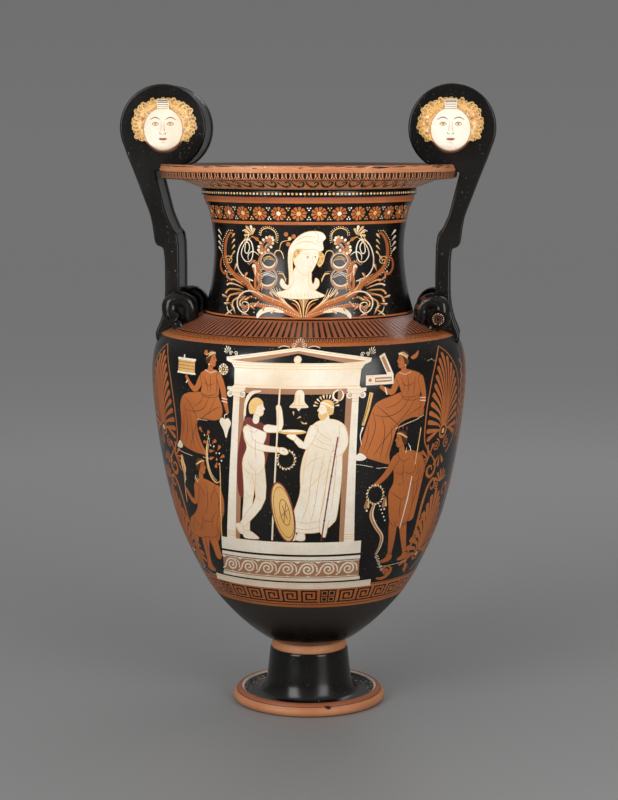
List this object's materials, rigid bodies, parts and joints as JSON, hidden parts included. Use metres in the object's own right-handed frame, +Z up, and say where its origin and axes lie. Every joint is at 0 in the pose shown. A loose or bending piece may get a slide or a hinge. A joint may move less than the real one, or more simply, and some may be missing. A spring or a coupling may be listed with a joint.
{
  "type": "greek volute krater",
  "caption": "Tall pottery bowl for mixing wine and water, on a pedestal foot, with volute handles that carry masks and a painted tomb scene.",
  "frame": {"origin": "centre of the foot's resting plane, on the krater's axis", "axes": "+Z up along the krater's axis, X through both handles, -Y towards the front with the painted shrine"},
  "size_m": [0.5228, 0.4456, 0.882],
  "materials": {
    "painted_clay": "fired clay with a glossy black slip, bare orange clay in the figures and borders, and added white, yellow and dark red"
  },
  "bodies": {
    "root": {"krater": "painted_clay"}
  },
  "joints": []
}
